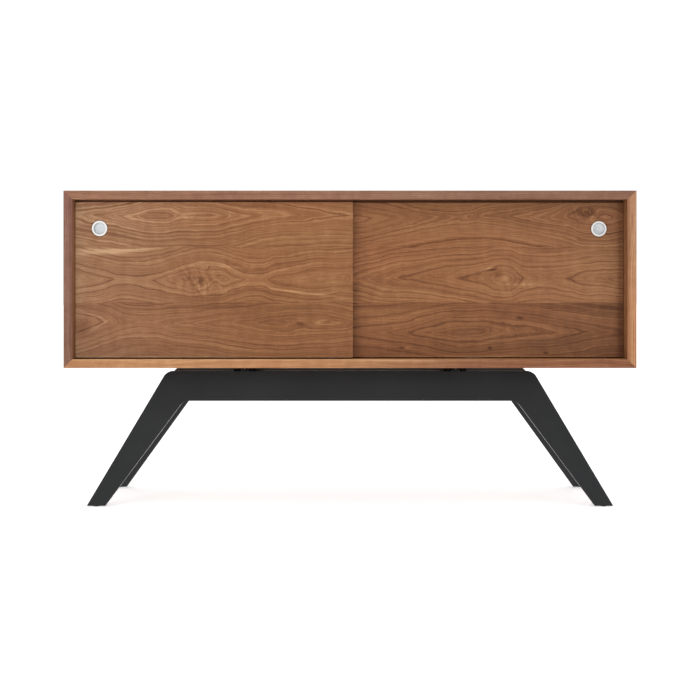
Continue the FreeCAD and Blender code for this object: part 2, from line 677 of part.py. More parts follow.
def ease_frame(piece, sign, start):
    """Round every edge of the two leaning faces except along the joints."""
    number, slope = float(sign), math.tan(math.radians(value("lean_angle")))
    top, joint = value("stand_top"), value(JOINT_SLOPE)

    def offset(point):
        """How far a point is inside the outer leaning face."""
        face = value("frame_top_front") + (top - point.z) * slope
        return face - number * (point.y + start)

    def on_joint(point):
        return abs(abs(point.x) - value("beam_top_half") + (top - point.z) * joint) < NEAR

    def outline_edge(edge):
        points = [vertex.Point for vertex in edge.Vertexes]
        points.append(edge.valueAt((edge.FirstParameter + edge.LastParameter) / 2))
        for depth in (0, value("frame_thick")):
            if all(abs(offset(p) - depth) < NEAR for p in points):
                return not all(on_joint(p) for p in points)
        return False

    round_edges(piece, "frame_arris", outline_edge)


def make_tenons():
    """Loose tenons across the slanting joints, leaning with their frames."""
    angle = f"atan({JOINT_SLOPE})"
    height = "(stand_top - beam_height / 2)"
    members = []
    for end, end_sign in ENDS:
        for side, side_sign in SIDES:
            corners = []
            for a, b in (("-1", "-1"), ("1", "-1"), ("1", "1"), ("-1", "1")):
                x = f"{a} * tenon_length / 2 * cos({angle}) + {b} * tenon_width / 2 * sin({angle})"
                z = f"{b} * tenon_width / 2 * cos({angle}) - {a} * tenon_length / 2 * sin({angle})"
                corners.append((f"{side_sign} * ({x})", z))
            tenon = prism(f"tenon_{end}_{side}", "XZ", corners, "0", "tenon_thick")
            tenon.Placement = FreeCAD.Placement(
                FreeCAD.Vector(), FreeCAD.Rotation(FreeCAD.Vector(float(end_sign), 0, 0), 1))
            tenon.setExpression("Placement.Rotation.Angle", bound("lean_angle"))
            middle = leaning(end_sign, "frame_thick / 2", height)
            place(tenon, x=joint_line(side_sign, height)[0],
                  y=f"{middle} - tenon_thick / 2 * cos(lean_angle)",
                  z=f"{height} - {end_sign} * tenon_thick / 2 * sin(lean_angle)")
            members.append(tenon)
    return group("leg_tenons", members)


def make_stretcher(side, sign, dowels):
    """A rail between the beams with its ends cut to their lean."""
    top = "(stand_top - stretcher_drop)"
    low = f"({top} - stretcher_height)"
    section = [(leaning("-1", "frame_thick", low), low), (leaning("1", "frame_thick", low), low),
               (leaning("1", "frame_thick", top), top), (leaning("-1", "frame_thick", top), top)]
    start = f"{sign} * mount_x - stretcher_width / 2"
    rail = prism(f"stretcher_{side}_blank", "YZ", section, start, "stretcher_width")
    round_edges(rail, "frame_arris", lambda edge: edge.BoundBox.YLength > LONG_EDGE)
    return cut(f"stretcher_{side}", rail, [dowels])


def make_stretcher_dowels():
    height = "(stand_top - stretcher_drop - stretcher_height / 2)"
    members = []
    for side, sign in SIDES:
        for end, end_sign in ENDS:
            for k in ("-1", "1"):
                x = f"{sign} * mount_x + {k} * tie_dowel_spread"
                y = f"{leaning(end_sign, 'frame_thick', height)} + {end_sign} * tie_dowel_beam"
                inward = "+Y" if end == "front" else "-Y"
                members.append(rod(f"tie_dowel_{side}_{end}", (x, y, height), inward,
                                   "tie_dowel_radius", "tie_dowel_beam + tie_dowel_rail"))
    return group("stretcher_dowels", members)


def mount_spots(z, shift="0"):
    """The four mounting points, each moved by shift along X."""
    return [(f"{side} * mount_x + {shift}", f"{end} * (frame_top_front - frame_thick / 2)", z)
            for _, side in SIDES for _, end in ENDS]


def make_mounting():
    """Bolts through the bottom board into inserts in the beams, with spacers beside them."""
    spacer = turned("spacer_pattern", [
        ("0", "-spigot_length"), ("spigot_radius", "-spigot_length"), ("spigot_radius", "0"),
        ("spacer_radius", "0"), ("spacer_radius", "case_base - stand_top"),
        ("0", "case_base - stand_top")])
    spots = mount_spots("stand_top", "-spacer_spread") + mount_spots("stand_top", "spacer_spread")
    spacers = group("mount_spacers", copies(spacer, spots))

    seat = f"({INSIDE_FLOOR} - bolt_recess_depth)"
    washer_rim = "bolt_recess_radius - bolt_hole_play"
    washer = turned("washer_pattern", rectangle("bolt_radius", washer_rim, "0", "washer_thick"))
    washers = group("mount_washers", copies(washer, mount_spots(seat)))

    grip = f"({seat} + washer_thick - stand_top + insert_length - bolt_stop)"
    bolt = turned("bolt_pattern", [
        ("0", f"-{grip}"), ("bolt_radius - bolt_point", f"-{grip}"),
        ("bolt_radius", f"bolt_point - {grip}"), ("bolt_radius", "0"), ("bolt_head_radius", "0"),
        ("bolt_head_radius", "bolt_head_height - bolt_head_ease"),
        ("bolt_head_radius - bolt_head_ease", "bolt_head_height"),
        ("bolt_socket", "bolt_head_height"), ("bolt_socket", "bolt_head_height - bolt_socket"),
        ("0", "bolt_head_height - bolt_socket")])
    bolts = group("mount_bolts", copies(bolt, mount_spots(f"{seat} + washer_thick")))

    insert = turned("insert_pattern", [
        ("bolt_radius", "-insert_length"), ("insert_radius - insert_ease", "-insert_length"),
        ("insert_radius", "insert_ease - insert_length"), ("insert_radius", "0"),
        ("bolt_radius", "0")])
    inserts = group("threaded_inserts", copies(insert, mount_spots("stand_top")))
    return spacers, washers, bolts, inserts


def make_foot_pads():
    """Glides nailed under the feet."""
    pad = turned("foot_pad_pattern", [
        ("0", "0"), ("foot_pad_radius - foot_pad_ease", "0"), ("foot_pad_radius", "foot_pad_ease"),
        ("foot_pad_radius", "foot_pad_height"), ("nail_radius", "foot_pad_height"),
        ("nail_radius", "nail_length"), ("0", "nail_length")])
    spots = [(f"{side} * (foot_outer_half + foot_inner_half) / 2",
              leaning(end, "frame_thick / 2", "foot_pad_height"), "0")
             for _, side in SIDES for _, end in ENDS]
    return group("foot_pads", copies(pad, spots))


# ---------------------------------------------------------------- assembly

def make_case(spacers, washers, bolts):
    """Everything of the case that doesn't slide."""
    splines, dowels = make_splines(), make_divider_dowels()
    screws, pins = make_back_screws(), make_shelf_pins()
    rear_recess = box("back_recess", (f"-({HALF_CLEAR} + back_rebate)", BACK_FACE,
                                      f"{INSIDE_FLOOR} - back_rebate"),
                      (f"2 * ({HALF_CLEAR} + back_rebate)", "case_depth",
                       f"{INSIDE_CEILING} - {INSIDE_FLOOR} + 2 * back_rebate"))
    upper_track, upper_recess = make_track("upper_track", "(tongue_thick + 2 * groove_play)",
                                           INSIDE_CEILING, "(upper_groove_depth + track_web)", "1")
    lower_track, lower_recess = make_track("lower_track", "(fin_thick + 2 * fin_play)",
                                           INSIDE_FLOOR, "(lower_groove_depth + track_web)", "-1")
    seat = f"{INSIDE_FLOOR} - bolt_recess_depth"
    bolt_recesses = group("bolt_recesses", [
        rod("bolt_recess", spot, "+Z", "bolt_recess_radius", "bolt_recess_depth + 1")
        for spot in mount_spots(seat)])
    bolt_holes = group("bolt_holes", [
        rod("bolt_hole", spot, "+Z", "bolt_radius + bolt_hole_play", "panel_thick + 2")
        for spot in mount_spots("case_base - 1")])

    shared = [rear_recess, splines, screws]
    pieces = [
        cut("top_panel", board("top_board", "top"), shared + [dowels, upper_recess]),
        cut("bottom_panel", board("bottom_board", "bottom"),
            shared + [dowels, lower_recess, bolt_recesses, bolt_holes]),
    ]
    for side, sign in SIDES:
        wall = f"-{HALF_CLEAR}" if sign == "-1" else HALF_CLEAR
        holes = pin_holes(f"{side}_pin_holes", (wall,))
        pieces.append(cut(f"side_panel_{side}", board(f"{side}_board", side), shared + [holes]))
    pieces += [make_lipping(side) for side in ("top", "bottom", "left", "right")]
    pieces += [splines, make_back_panel(screws), screws, make_grommets(),
               make_divider(dowels, screws), dowels]
    pieces += [make_shelf(side, sign) for side, sign in SIDES]
    pieces += [pins, upper_track, lower_track, spacers, washers, bolts]
    return pieces


def make_stand(spacers, inserts):
    """Two leaning trestles tied by two stretchers."""
    tenons, dowels, pads = make_tenons(), make_stretcher_dowels(), make_foot_pads()
    insert_holes = group("insert_holes", [
        rod("insert_hole", spot, "+Z", "insert_radius", "insert_length + 1")
        for spot in mount_spots("stand_top - insert_length")])
    pieces = []
    for end, sign in ENDS:
        beam = make_frame_piece(f"{end}_beam_blank", sign, "beam")
        pieces.append(cut(f"{end}_beam", beam, [tenons, dowels, insert_holes, spacers]))
        for side, _ in SIDES:
            leg = make_frame_piece(f"{end}_leg_{side}_blank", sign, side)
            pieces.append(cut(f"{end}_leg_{side}", leg, [tenons, pads]))
    pieces += [make_stretcher(side, sign, dowels) for side, sign in SIDES]
    return pieces + [tenons, dowels, inserts, pads]


def write_steps(pieces):
    """Check every object of the document, then write one file for each sub-part."""
    doc.recompute()
    for item in doc.Objects:
        if {"Invalid", "Error"} & set(item.State):
            raise RuntimeError(f"{item.Label}: {item.State}")
    for piece in pieces:
        if piece.Shape.isNull() or not piece.Shape.isValid() or not piece.Shape.Solids:
            raise RuntimeError(f"{piece.Label}: its shape is not sound")
    os.makedirs("parts", exist_ok=True)
    for piece in pieces:
        piece.Shape.exportStep(f"parts/{piece.Label}.step")
        print(piece.Label, len(piece.Shape.Solids), round(piece.Shape.Volume))


spacers, washers, bolts, inserts = make_mounting()
write_steps(make_case(spacers, washers, bolts) + make_doors() + make_stand(spacers, inserts))
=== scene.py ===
"""The looks of the media cabinet: materials, small turned pieces, camera and studio light."""
import math

import bmesh
import bpy
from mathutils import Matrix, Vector


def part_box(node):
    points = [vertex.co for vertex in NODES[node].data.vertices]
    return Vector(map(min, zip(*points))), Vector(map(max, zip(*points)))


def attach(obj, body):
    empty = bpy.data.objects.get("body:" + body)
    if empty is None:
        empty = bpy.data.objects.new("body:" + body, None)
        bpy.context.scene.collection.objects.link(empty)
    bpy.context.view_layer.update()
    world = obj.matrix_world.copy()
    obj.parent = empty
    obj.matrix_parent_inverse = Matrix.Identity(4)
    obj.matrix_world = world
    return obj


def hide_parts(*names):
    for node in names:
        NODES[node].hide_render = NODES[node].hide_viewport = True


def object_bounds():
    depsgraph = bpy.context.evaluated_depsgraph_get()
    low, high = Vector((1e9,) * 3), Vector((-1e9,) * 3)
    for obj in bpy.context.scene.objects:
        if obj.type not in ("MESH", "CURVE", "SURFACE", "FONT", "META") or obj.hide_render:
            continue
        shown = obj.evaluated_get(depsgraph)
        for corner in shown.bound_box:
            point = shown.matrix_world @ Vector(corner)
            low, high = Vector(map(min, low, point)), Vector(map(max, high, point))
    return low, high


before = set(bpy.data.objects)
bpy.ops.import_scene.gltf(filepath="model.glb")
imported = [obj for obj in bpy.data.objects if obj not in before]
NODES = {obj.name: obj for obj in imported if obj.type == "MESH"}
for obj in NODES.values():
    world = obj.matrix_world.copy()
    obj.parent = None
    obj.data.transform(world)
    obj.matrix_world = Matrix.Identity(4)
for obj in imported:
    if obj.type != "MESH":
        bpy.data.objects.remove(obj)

CAD_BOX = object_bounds()
LOW, HIGH = CAD_BOX


# ---------------------------------------------------------------- shader graphs

# A mix node's colour sockets, by number because its sockets for other types have the same names.
MIX_FACTOR, MIX_FIRST, MIX_SECOND, MIX_RESULT = 0, 6, 7, 2


class Signal:
    """A shader node's output that can be used in plain arithmetic."""

    def __init__(self, graph, socket):
        self.graph, self.socket = graph, socket

    def __add__(self, other):
        return self.graph.math("ADD", self, other)

    def __radd__(self, other):
        return self.graph.math("ADD", other, self)

    def __sub__(self, other):
        return self.graph.math("SUBTRACT", self, other)

    def __rsub__(self, other):
        return self.graph.math("SUBTRACT", other, self)

    def __mul__(self, other):
        return self.graph.math("MULTIPLY", self, other)

    def __truediv__(self, other):
        return self.graph.math("DIVIDE", self, other)

    def __pow__(self, other):
        return self.graph.math("POWER", self, other)


class Graph:
    """One material's node tree, with short names for the nodes that this scene needs."""

    def __init__(self, name):
        self.material = bpy.data.materials.new(name)
        self.material.use_nodes = True
        self.tree = self.material.node_tree
        self.shader = self.tree.nodes["Principled BSDF"]

    def feed(self, target, source):
        """Give a socket a signal or a constant."""
        if isinstance(source, Signal):
            self.tree.links.new(source.socket, target)
        else:
            target.default_value = source

    def node(self, kind, inputs=(), **settings):
        """A new node. Its inputs go by order, or by name where they are a dictionary."""
        node = self.tree.nodes.new(kind)
        for key, setting in settings.items():
            setattr(node, key, setting)
        pairs = inputs.items() if isinstance(inputs, dict) else enumerate(inputs)
        for key, source in pairs:
            self.feed(node.inputs[key], source)
        return node

    def math(self, operation, *sources):
        """The result of one operation on signals or constants."""
        node = self.node("ShaderNodeMath", sources, operation=operation)
        return Signal(self, node.outputs[0])

    def clamp(self, source):
        """The signal, held between 0 and 1."""
        node = self.node("ShaderNodeClamp", (source, 0.0, 1.0))
        return Signal(self, node.outputs[0])

    def step(self, source, low, high):
        """0 below low and 1 above high, smooth between them."""
        inputs = {"Value": source, "From Min": low, "From Max": high}
        node = self.node("ShaderNodeMapRange", inputs, interpolation_type="SMOOTHSTEP")
        return Signal(self, node.outputs["Result"])

    def place(self):
        """Object coordinates in metres, as three signals."""
        coordinates = self.node("ShaderNodeTexCoord")
        split = self.node("ShaderNodeSeparateXYZ", (Signal(self, coordinates.outputs["Object"]),))
        return {axis: Signal(self, split.outputs[axis]) for axis in "XYZ"}

    def noise(self, x, y, seed, detail=2.0, roughness=0.5, distortion=0.0):
        """Noise around zero, from about -0.5 to 0.5. Its grain is one unit of x and y."""
        spot = Signal(self, self.node("ShaderNodeCombineXYZ", (x, y, seed)).outputs[0])
        inputs = {"Vector": spot, "Scale": 1.0, "Detail": detail,
                  "Roughness": roughness, "Distortion": distortion}
        node = self.node("ShaderNodeTexNoise", inputs, noise_dimensions="3D")
        return Signal(self, node.outputs[0]) - 0.5

    def random(self, seed):
        """A value from 0 to 1 for each whole number."""
        node = self.node("ShaderNodeTexWhiteNoise", {"W": seed}, noise_dimensions="1D")
        return Signal(self, node.outputs["Value"])

    def curve(self, source, points):
        """A smooth curve through points with both coordinates from 0 to 1."""
        node = self.node("ShaderNodeFloatCurve", {"Value": source})
        line = node.mapping.curves[0]
        line.points[0].location, line.points[-1].location = points[0], points[-1]
        for point in points[1:-1]:
            line.points.new(*point)
        node.mapping.update()
        return Signal(self, node.outputs[0])

    def ramp(self, source, stops):
        """Colours by position; each stop is (position, (red, green, blue))."""
        node = self.node("ShaderNodeValToRGB", (source,))
        elements = node.color_ramp.elements
        while len(elements) < len(stops):
            elements.new(0.5)
        for element, (position, colour) in zip(elements, stops):
            element.position, element.color = position, (*colour, 1.0)
        return Signal(self, node.outputs[0])

    def tint(self, factor, colour, filter_colour):
        """A colour multiplied by another one, as far as the factor says."""
        node = self.node("ShaderNodeMix", data_type="RGBA", blend_type="MULTIPLY")
        self.feed(node.inputs[MIX_FACTOR], factor)
        self.feed(node.inputs[MIX_FIRST], colour)
        self.feed(node.inputs[MIX_SECOND], filter_colour)
        return Signal(self, node.outputs[MIX_RESULT])

    def finish(self, colour, roughness, bump=None, bump_height=0.0, **constants):
        """Wire the surface. Other sockets of the shader take constants by name."""
        self.feed(self.shader.inputs["Base Color"], colour)
        self.feed(self.shader.inputs["Roughness"], roughness)
        for key, number in constants.items():
            self.shader.inputs[key.replace("_", " ")].default_value = number
        if bump is not None:
            inputs = {"Strength": 1.0, "Distance": bump_height, "Height": bump}
            normal = Signal(self, self.node("ShaderNodeBump", inputs).outputs[0])
            self.feed(self.shader.inputs["Normal"], normal)
        return self.material


# ---------------------------------------------------------------- walnut

LEAF_START = 0.400      # where the doors' lowest veneer leaf begins, above the floor
LEAF_WIDTH = 0.1508
LEAF_SHIFT = 7.31       # how far the noise moves from one leaf to the next
RING_WIDTH = 0.0145     # from one growth ring to the next
RING_SPREAD = (0.92, 0.035)     # rings crowd together away from the crown line
CROWN_RINGS = 6.0       # the deepest that a crown may lie
CROWN_POINT = 1.28      # 1 makes crowns pointed and 2 makes them round
CROWN_WANDER = 0.022    # how far a crown line strays from its leaf's middle
LEAST_DEPTH = 0.02      # in rings, because a depth of nothing has no smooth crown
FREE_DEPTH, FREE_DEPTH_SWING = 2.6, 7.0     # crowns of boards that have none laid out
HALVES_APART = 3.2      # rings by which a crown's two sides differ
HALVES_START = 0.5      # how soon they do
FIRST_RING = 10.0       # keeps ring numbers above zero

# Noise in the wood: cycles per metre along the grain and per metre or ring across it, seed,
# detail and roughness.
WOOD_NOISE = {
    "free_depth": (1.7, 0.0, 0.0, 1.0, 0.5),
    "wander": (3.1, 0.0, 3.0, 1.0, 0.5),
    "apart": (5.0, 2.7, 1.7, 1.0, 0.5),
    "sway": (4.5, 15.0, 0.0, 2.0, 0.5),
    "ripple": (26.0, 48.0, 9.0, 3.0, 0.6),
    "fade": (3.0, 3.7, 7.0, 1.0, 0.5),
    "bands": (1.1, 2.3, 5.0, 2.0, 0.6),
    "hair": (2.4, 11.0, 5.5, 2.0, 0.6),
    "fibre": (14.0, 380.0, 1.0, 4.0, 0.65),
    "pores": (90.0, 1500.0, 2.0, 1.0, 0.5),
    "cloud": (2.0, 9.0, 4.0, 3.0, 0.5),
    "shimmer": (40.0, 22.0, 6.0, 3.0, 0.6),
    "warmth": (2.6, 8.0, 8.0, 3.0, 0.5),
}
SWAY_RINGS, RIPPLE_RINGS, UNEVEN_RINGS = 1.5, 0.62, 1.1     # how many rings each of these moves
UNEVEN_STEP, UNEVEN_SEED = 0.8, 2.5
LINE_RISE, LINE_END = (0.35, 0.97), (0.965, 1.0)    # a ring's dark line, as shares of the ring
LINE_LEAST, LINE_FADE = 0.12, 1.6   # its least strength, and how much that varies along it
PORE_EDGE = (0.10, 0.24)

# How light the wood is on the scale of WALNUT_STOPS, and what each detail adds or takes.
BASE_SHADE = 0.575
LINE_SHADE, BAND_SHADE, HAIR_SHADE = 0.27, 0.66, 0.60
FIBRE_SHADE, PORE_SHADE, CLOUD_SHADE, SHIMMER_SHADE = 0.56, 0.12, 0.34, 0.34
LEAF_SHADE = 0.16
SEAM_SHADE, SEAM_EDGE = 0.10, (0.0002, 0.0014)      # the joint between two leaves
MARK_RIPPLE = 0.004     # how far a mark's edge follows the ripples
CURL_GRAIN, CURL_SLANT, CURL_ACROSS = 85.0, 24.0, 30.0
CURL_SEED, CURL_TWIST, CURL_SHADE = 6.5, 0.6, 1.1
PULL_GAP, PULL_GAP_PAINTED_SHADE = 0.0016, 0.6      # painted shade in the gap round a pull: its width and darkness
TONGUE_HEIGHT, TONGUE_EDGE = 0.012, 0.0005  # the part of a door in the upper track, darkened as painted shade, and the edge of that shade
WARM_SWING, WARM_TINT = 1.2, (1.04, 0.88, 0.92, 1.0)
FIBRE_RELIEF, PORE_RELIEF, LINE_RELIEF, RELIEF_HEIGHT = 0.35, 0.8, 0.3, 0.0001
WALNUT_ROUGHNESS, SHEEN_SWING = 0.42, 0.10
WALNUT_SPECULAR = 0.13
WALNUT_STOPS = (
    (0.00, (0.083, 0.0298, 0.0116)),
    (0.22, (0.133, 0.0523, 0.0199)),
    (0.50, (0.219, 0.0919, 0.0363)),
    (0.75, (0.298, 0.1434, 0.0604)),
    (1.00, (0.438, 0.2423, 0.1100)),
)

# How deep each leaf's crown lies under its middle line, in growth rings, from the door's left
# end (0) to its right end (1). Crowns close where it is least. Leaves go from the bottom up.
LEFT_DOOR_CROWNS = (
    ((0.0, 0.3), (0.06, 1.3), (0.115, 2.4), (0.25, 4.0), (0.38, 3.2), (0.56, 2.2), (0.62, 1.8),
     (0.72, 1.1), (0.85, 0.7), (1.0, 1.7)),
    ((0.0, 1.7), (0.10, 2.6), (0.20, 3.4), (0.29, 2.8), (0.35, 1.7), (0.43, 0.9), (0.51, 1.2),
     (0.58, 2.4), (0.66, 3.1), (0.72, 2.3), (0.80, 1.9), (0.88, 1.6), (0.95, 1.7), (1.0, 1.4)),
    ((0.0, 3.2), (0.12, 2.4), (0.22, 1.3), (0.31, 0.5), (0.39, 1.3), (0.46, 1.2), (0.57, 2.2),
     (0.72, 3.3), (1.0, 4.2)),
)
RIGHT_DOOR_CROWNS = (
    ((0.0, 4.3), (0.2, 3.2), (0.28, 2.2), (0.43, 1.2), (0.56, 2.2), (0.78, 3.2), (1.0, 4.5)),
    ((0.0, 5.2), (0.114, 4.2), (0.236, 3.2), (0.40, 2.2), (0.50, 1.2), (0.555, 0.4), (0.633, 2.05),
     (0.71, 2.5), (0.79, 2.2), (0.87, 1.2), (1.0, 0.3)),
    ((0.0, 1.4), (0.12, 2.2), (0.22, 3.2), (0.31, 4.2), (0.42, 4.8), (0.52, 4.2), (0.66, 3.2),
     (0.77, 2.2), (0.82, 1.5), (0.87, 0.6), (1.0, 1.5)),
)
LEFT_DOOR_MIDDLES = (0.498, 0.614, 0.787)
RIGHT_DOOR_MIDDLES = (0.472, 0.615, 0.783)

# Places where the rings close round an eye or a knot: along, across, half sizes, rings raised,
# slope.
LEFT_DOOR_EYES = (
    (-0.420, 0.596, 0.020, 0.018, -1.1, 0.3),
    (-0.362, 0.604, 0.016, 0.020, 1.2, 0.0),
    (-0.390, 0.642, 0.024, 0.010, 0.8, -0.3),
    (-0.134, 0.496, 0.045, 0.013, 0.9, 0.0),
    (-0.006, 0.617, 0.012, 0.011, 1.7, 0.0),
)
RIGHT_DOOR_EYES = (
    (0.416, 0.616, 0.036, 0.028, -1.7, -0.3),
    (0.392, 0.640, 0.020, 0.009, 1.0, 0.0),
    (0.640, 0.790, 0.026, 0.017, 1.5, 0.0),
    (0.255, 0.628, 0.030, 0.012, 0.6, 0.2),
)

# Local darker and lighter places: along, across, half sizes, change of shade, slope. Some, noted
# below, are painted shadow and painted light by the doors' edges.
LEFT_DOOR_MARKS_AND_PAINTED_LIGHT = (
    (-0.690, 0.6885, 0.085, 0.0085, 0.46, 0.0),
    (-0.605, 0.6920, 0.062, 0.0065, 0.34, 0.06),
    (-0.540, 0.6960, 0.050, 0.0035, 0.24, 0.08),
    (-0.500, 0.7050, 0.300, 0.0022, -0.16, 0.0),
    (-0.400, 0.5420, 0.330, 0.0085, -0.17, 0.0),
    (-0.722, 0.4830, 0.026, 0.022, -0.28, 0.0),
    (-0.694, 0.5190, 0.040, 0.0024, 0.22, -0.37),
    (-0.676, 0.4880, 0.030, 0.0024, 0.22, 0.60),
    (-0.675, 0.7900, 0.030, 0.0070, -0.14, 0.0),
    (-0.134, 0.4950, 0.012, 0.0040, -0.34, 0.0),
    (-0.058, 0.5010, 0.008, 0.0030, -0.26, 0.0),
    (-0.122, 0.5780, 0.130, 0.0030, 0.24, -0.13),
    (-0.330, 0.6480, 0.060, 0.0040, 0.20, -0.06),
    # Painted light: these two lighten the door's lowest centimetres against the shade of the gap
    # below it.
    (-0.370, 0.4020, 0.600, 0.0140, 0.22, 0.0),
    (-0.370, 0.4040, 0.600, 0.0028, 0.31, 0.0),
    # Painted light: lightens the door's left end against the shade of the left lipping.
    (-0.739, 0.6000, 0.024, 0.5000, 0.26, 0.0),
    # Painted light: lightens the top of the door against the shade under the top's overhang.
    (-0.370, 0.7850, 0.500, 0.0280, 0.11, 0.0),
    (-0.300, 0.5800, 0.500, 0.0180, -0.07, 0.0),
    (-0.318, 0.5810, 0.045, 0.0220, 0.10, 0.0),
    (-0.690, 0.5900, 0.060, 0.0500, 0.06, 0.0),
    (-0.300, 0.4200, 0.200, 0.0160, 0.06, 0.0),
)
RIGHT_DOOR_MARKS_AND_PAINTED_LIGHT = (
    (0.384, 0.6400, 0.010, 0.0026, -0.75, 0.1),
    (0.374, 0.6440, 0.026, 0.0022, 0.26, 0.4),
    (0.398, 0.6270, 0.014, 0.010, -0.20, 0.0),
    (0.420, 0.6180, 0.012, 0.012, 0.18, 0.0),
    (0.490, 0.6010, 0.070, 0.0050, 0.18, 0.03),
    (0.140, 0.4290, 0.0075, 0.0040, -0.50, 0.0),
    (0.156, 0.4300, 0.0060, 0.0035, 0.30, 0.0),
    (0.378, 0.4290, 0.0055, 0.0040, -0.50, 0.0),
    (0.459, 0.5100, 0.0075, 0.0032, -0.60, -0.1),
    (0.529, 0.4150, 0.0065, 0.0032, -0.50, 0.0),
    (0.640, 0.7900, 0.030, 0.0120, -0.30, 0.0),
    (0.655, 0.7830, 0.010, 0.0060, 0.26, 0.0),
    (0.055, 0.7800, 0.050, 0.0160, 0.12, 0.0),
    (0.600, 0.5340, 0.220, 0.0150, -0.12, 0.0),
    (0.350, 0.5430, 0.450, 0.0080, -0.12, 0.0),
    (0.650, 0.4400, 0.160, 0.0600, -0.10, 0.0),
    # Painted shadow of the right side panel on the door's right end.
    (0.731, 0.6000, 0.0085, 0.5000, -0.28, 0.0),
    # Painted shadow of the left door on this door's left edge.
    (0.010, 0.6000, 0.022, 0.5000, -0.09, 0.0),
    (0.370, 0.6160, 0.500, 0.0240, -0.08, 0.0),
    # Painted light: these two lighten the door's lowest centimetres against the shade of the gap
    # below it.
    (0.370, 0.4020, 0.600, 0.0120, 0.09, 0.0),
    (0.370, 0.4040, 0.600, 0.0044, 0.34, 0.0),
    (0.500, 0.6300, 0.140, 0.0400, -0.06, 0.0),
    (0.110, 0.4900, 0.100, 0.0800, 0.06, 0.0),
    (0.250, 0.7970, 0.090, 0.0240, -0.09, 0.0),
)

# Places where the fibres curl, so that light and dark bands cross the grain.
LEFT_DOOR_CURLS = (
    (-0.425, 0.616, 0.050, 0.036, 1.0, 0.0),
    (-0.372, 0.592, 0.040, 0.026, 0.9, 0.0),
)
RIGHT_DOOR_CURLS = (
    (0.440, 0.600, 0.045, 0.024, 0.7, 0.0),
    (0.640, 0.790, 0.045, 0.022, 0.7, 0.0),
)


def select_leaf(graph, leaf, values):
    """The signal of the leaf that a point lies on."""
    total = 0.0
    for index, item in enumerate(values):
        inside = graph.math("COMPARE", leaf, float(index), 0.25)
        total = inside * item + total
    return total


def blobs(graph, grain, side, places):
    """Soft round hills, added up: each place is (along, across, half sizes, height, slope)."""
    total = 0.0
    for along, across, length, width, height, slope in places:
        u = (grain - along) / length
        v = (side - across - (grain - along) * slope) / width
        total = graph.math("POWER", math.e, (u * u + v * v) * -1.0) * height + total
    return total


def wood_noise(graph, kind, grain, seed, across=0.0, shift=0.0):
    """One of WOOD_NOISE, at a place along the grain and across it."""
    cycles, cross_cycles, own_seed, detail, roughness = WOOD_NOISE[kind]
    return graph.noise(grain * cycles, across * cross_cycles + shift, seed + own_seed,
                       detail=detail, roughness=roughness)


def ring_distance(graph, grain, offset, side, leaf, seed, crowns, eyes):
    """Growth rings counted outwards from a leaf's crown line."""
    shift = leaf * LEAF_SHIFT + seed
    if crowns:
        start, end, leaves, middles = crowns
        offset = side - select_leaf(graph, leaf, middles)
        share = (grain - start) / (end - start)
        curves = [[(at, depth / CROWN_RINGS) for at, depth in points] for points in leaves]
        depths = [graph.curve(share, points) * CROWN_RINGS for points in curves]
        depth = select_leaf(graph, leaf, depths)
    else:
        swing = wood_noise(graph, "free_depth", grain, seed, shift=shift)
        depth = FREE_DEPTH + swing * FREE_DEPTH_SWING
    wander = wood_noise(graph, "wander", grain, seed, shift=shift) * CROWN_WANDER
    height = graph.math("ABSOLUTE", offset + wander) / RING_WIDTH
    depth = graph.math("MAXIMUM", depth, LEAST_DEPTH)
    distance = (height ** CROWN_POINT + depth ** CROWN_POINT) ** (1.0 / CROWN_POINT)
    near, crowding = RING_SPREAD
    distance = distance * (distance * crowding + near)
    half = graph.math("SIGN", offset)
    apart = wood_noise(graph, "apart", grain, seed, half, shift)
    distance = distance + apart * graph.clamp(height * HALVES_START) * HALVES_APART
    if eyes:
        distance = distance + blobs(graph, grain, side, eyes)
    return distance


def ring_lines(graph, grain, rings, seed, shift):
    """One dark line per ring, sharp on one side, of uneven strength along it and between rings."""
    ring = graph.math("FLOOR", rings)
    phase = rings - ring
    fade = wood_noise(graph, "fade", grain, seed, ring, shift)
    strength = graph.clamp(graph.random(ring + shift) + fade * LINE_FADE + LINE_LEAST)
    rise = graph.step(phase, *LINE_RISE)
    return rise * rise * (1.0 - graph.step(phase, *LINE_END)) * strength


